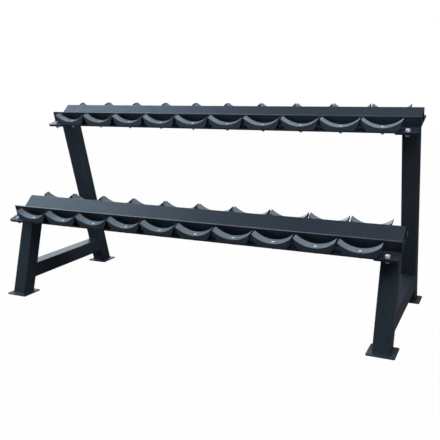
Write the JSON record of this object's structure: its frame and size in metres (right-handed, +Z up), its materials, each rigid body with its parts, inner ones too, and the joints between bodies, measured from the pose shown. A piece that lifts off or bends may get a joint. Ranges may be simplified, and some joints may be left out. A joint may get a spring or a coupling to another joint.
{
  "type": "dumbbell rack",
  "caption": "Free-standing steel rack with tilted tiers on leaning end frames; dumbbells lie across pairs of moulded saddles bolted to the rails.",
  "frame": {"origin": "on the floor, midway between the end frames and midway between the front and rear feet", "axes": "+X along the tiers to the right as seen from the front, +Y to the back, +Z up"},
  "size_m": [1.833, 0.754, 0.8962],
  "materials": {
    "frame_coat": "satin black powder coat",
    "rail_coat": "satin charcoal powder coat",
    "saddle": "satin moulded polyurethane",
    "zinc": "bright zinc plate"
  },
  "bodies": {
    "root": {"left_front_leg": "frame_coat", "left_upright": "frame_coat", "left_cross_tube": "frame_coat", "left_front_base_plate": "frame_coat", "left_rear_base_plate": "frame_coat", "left_lower_bracket": "frame_coat", "left_upper_bracket": "frame_coat", "right_front_leg": "frame_coat", "right_upright": "frame_coat", "right_cross_tube": "frame_coat", "right_front_base_plate": "frame_coat", "right_rear_base_plate": "frame_coat", "right_lower_bracket": "frame_coat", "right_upper_bracket": "frame_coat", "lower_front_rail": "rail_coat", "lower_rear_rail": "rail_coat", "upper_front_rail": "rail_coat", "upper_rear_rail": "rail_coat", "lower_front_saddle_01": "saddle", "lower_front_saddle_02": "saddle", "lower_front_saddle_03": "saddle", "lower_front_saddle_04": "saddle", "lower_front_saddle_05": "saddle", "lower_front_saddle_06": "saddle", "lower_front_saddle_07": "saddle", "lower_front_saddle_08": "saddle", "lower_front_saddle_09": "saddle", "lower_front_saddle_10": "saddle", "lower_rear_saddle_01": "saddle", "lower_rear_saddle_02": "saddle", "lower_rear_saddle_03": "saddle", "lower_rear_saddle_04": "saddle", "lower_rear_saddle_05": "saddle", "lower_rear_saddle_06": "saddle", "lower_rear_saddle_07": "saddle", "lower_rear_saddle_08": "saddle", "lower_rear_saddle_09": "saddle", "lower_rear_saddle_10": "saddle", "upper_front_saddle_01": "saddle", "upper_front_saddle_02": "saddle", "upper_front_saddle_03": "saddle", "upper_front_saddle_04": "saddle", "upper_front_saddle_05": "saddle", "upper_front_saddle_06": "saddle", "upper_front_saddle_07": "saddle", "upper_front_saddle_08": "saddle", "upper_front_saddle_09": "saddle", "upper_front_saddle_10": "saddle", "upper_rear_saddle_01": "saddle", "upper_rear_saddle_02": "saddle", "upper_rear_saddle_03": "saddle", "upper_rear_saddle_04": "saddle", "upper_rear_saddle_05": "saddle", "upper_rear_saddle_06": "saddle", "upper_rear_saddle_07": "saddle", "upper_rear_saddle_08": "saddle", "upper_rear_saddle_09": "saddle", "upper_rear_saddle_10": "saddle", "saddle_fasteners": "zinc", "rail_fasteners": "zinc"}
  },
  "joints": []
}
